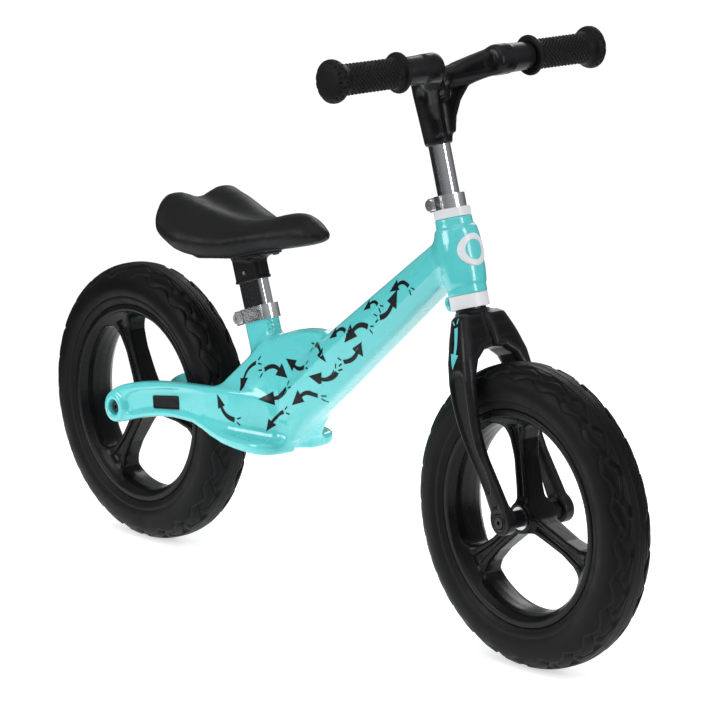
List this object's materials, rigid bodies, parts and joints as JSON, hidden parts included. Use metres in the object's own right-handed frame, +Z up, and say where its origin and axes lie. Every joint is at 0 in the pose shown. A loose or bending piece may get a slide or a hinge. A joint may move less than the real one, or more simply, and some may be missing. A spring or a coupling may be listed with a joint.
{
  "type": "balance bike",
  "caption": "Child's balance bike with a cast frame and footrest, spoked wheels on foam tyres, a swept handlebar and an adjustable saddle.",
  "frame": {"origin": "on the ground in the middle plane, halfway between the axles", "axes": "+X forward, +Y to the rider's left, +Z up"},
  "size_m": [0.88, 0.332, 0.5785],
  "materials": {
    "frame_paint": "gloss",
    "black_paint": "satin",
    "bright_clamp": "polished",
    "chrome": "polished",
    "steel": "satin",
    "bolt_black": "satin",
    "white_plastic": "satin",
    "plate_black": "satin",
    "grip_rubber": "matte",
    "tyre": "matte",
    "black_plastic_gloss": "satin",
    "black_plastic": "satin",
    "saddle_skin": "matte"
  },
  "bodies": {
    "frame": {"frame": "frame_paint", "headset_upper_cup": "white_plastic", "headset_lower_cup": "white_plastic", "upper_head_bearing": "steel", "lower_head_bearing": "steel", "seat_clamp": "bright_clamp", "seat_clamp_bolt": "steel", "seat_clamp_nut": "steel", "head_badge": "white_plastic", "side_plates": "plate_black", "rear_axle": "steel", "rear_spacers": "black_plastic", "rear_axle_bolts": "bolt_black"},
    "fork": {"fork": "black_paint", "steerer_tube": "steel", "crown_race": "bolt_black", "compression_ring": "steel", "bar_clamp": "bright_clamp", "bar_clamp_bolt": "steel", "bar_clamp_nut": "steel", "front_axle": "steel", "front_spacers": "black_plastic", "front_axle_bolts": "bolt_black"},
    "handlebar": {"handlebar": "black_paint", "stem_tube": "chrome", "stem_set_screw": "bolt_black", "grip_left": "grip_rubber", "grip_right": "grip_rubber"},
    "saddle": {"seat_post": "chrome", "seat_post_plug": "black_plastic", "saddle_bracket": "black_plastic", "bracket_pin": "steel", "saddle_screws": "steel", "saddle_base": "black_plastic", "saddle_pad": "saddle_skin"},
    "front_wheel": {"front_tyre": "tyre", "front_rim": "black_plastic_gloss", "front_bearing_left": "steel", "front_bearing_right": "steel", "front_bearing_sleeve": "steel"},
    "rear_wheel": {"rear_tyre": "tyre", "rear_rim": "black_plastic_gloss", "rear_bearing_left": "steel", "rear_bearing_right": "steel", "rear_bearing_sleeve": "steel"}
  },
  "joints": [
    {"name": "steering", "type": "hinge", "parent": "frame", "child": "fork", "pos_m": [0.3069, 0, 0], "axis": [-0.2952, 0, 0.9554], "range_deg": [-90, 90]},
    {"name": "handlebar_height", "type": "slide", "parent": "fork", "child": "handlebar", "axis": [-0.2952, 0, 0.9554], "range_m": [-0.035, 0.035]},
    {"name": "saddle_height", "type": "slide", "parent": "frame", "child": "saddle", "axis": [-0.3256, 0, 0.9455], "range_m": [-0.022, 0.04]},
    {"name": "front_wheel_spin", "type": "hinge", "parent": "fork", "child": "front_wheel", "pos_m": [0.295, 0, 0.145], "axis": [0, 1, 0], "continuous": true},
    {"name": "rear_wheel_spin", "type": "hinge", "parent": "frame", "child": "rear_wheel", "pos_m": [-0.295, 0, 0.145], "axis": [0, 1, 0], "continuous": true}
  ]
}
